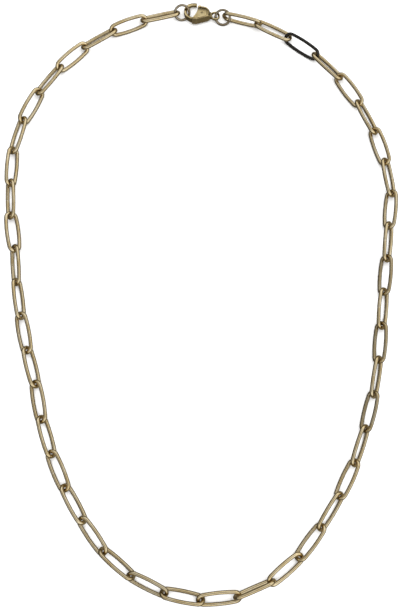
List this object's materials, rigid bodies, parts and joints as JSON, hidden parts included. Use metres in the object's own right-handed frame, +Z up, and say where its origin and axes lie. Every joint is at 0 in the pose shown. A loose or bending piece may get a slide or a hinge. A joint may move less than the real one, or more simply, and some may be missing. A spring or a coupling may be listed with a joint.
{
  "type": "paperclip chain necklace",
  "caption": "Paperclip chain necklace of long oval wire links, closed by a lobster clasp between two jump rings and lying as one loop.",
  "frame": {"origin": "centre of the loop's rectangular extent, on the surface that the necklace lies on", "axes": "+Z up from the surface, +Y from the lowest link at the front of the neck toward the clasp, +X to the right as seen from above"},
  "size_m": [0.1152, 0.1774, 0.0047],
  "materials": {
    "link_wire": "polished",
    "ring_wire": "polished",
    "clasp_metal": "polished",
    "lever_metal": "polished",
    "pin_metal": "polished"
  },
  "bodies": {
    "chain": {"link_01": "link_wire", "link_02": "link_wire", "link_03": "link_wire", "link_04": "link_wire", "link_05": "link_wire", "link_06": "link_wire", "link_07": "link_wire", "link_08": "link_wire", "link_09": "link_wire", "link_10": "link_wire", "link_11": "link_wire", "link_12": "link_wire", "link_13": "link_wire", "link_14": "link_wire", "link_15": "link_wire", "link_16": "link_wire", "link_17": "link_wire", "link_18": "link_wire", "link_19": "link_wire", "link_20": "link_wire", "link_21": "link_wire", "link_22": "link_wire", "link_23": "link_wire", "link_24": "link_wire", "link_25": "link_wire", "link_26": "link_wire", "link_27": "link_wire", "link_28": "link_wire", "link_29": "link_wire", "link_30": "link_wire", "link_31": "link_wire", "link_32": "link_wire", "link_33": "link_wire", "link_34": "link_wire", "link_35": "link_wire", "link_36": "link_wire", "link_37": "link_wire", "link_38": "link_wire", "link_39": "link_wire", "link_40": "link_wire", "link_41": "link_wire", "link_42": "link_wire", "link_43": "link_wire", "link_44": "link_wire", "jump_ring_left": "ring_wire", "jump_ring_right": "ring_wire", "clasp_body": "clasp_metal", "lever_pin": "pin_metal"},
    "lever": {"clasp_lever": "lever_metal"}
  },
  "joints": [
    {"name": "clasp_lever_hinge", "type": "hinge", "parent": "chain", "child": "lever", "pos_m": [-0.00006, 0.08448, 0.00189], "axis": [-0.0151, -0.173, -0.9848], "range_deg": [0, 25], "stiffness_Nm_per_rad": 0.002, "springref_deg": -11.46}
  ]
}
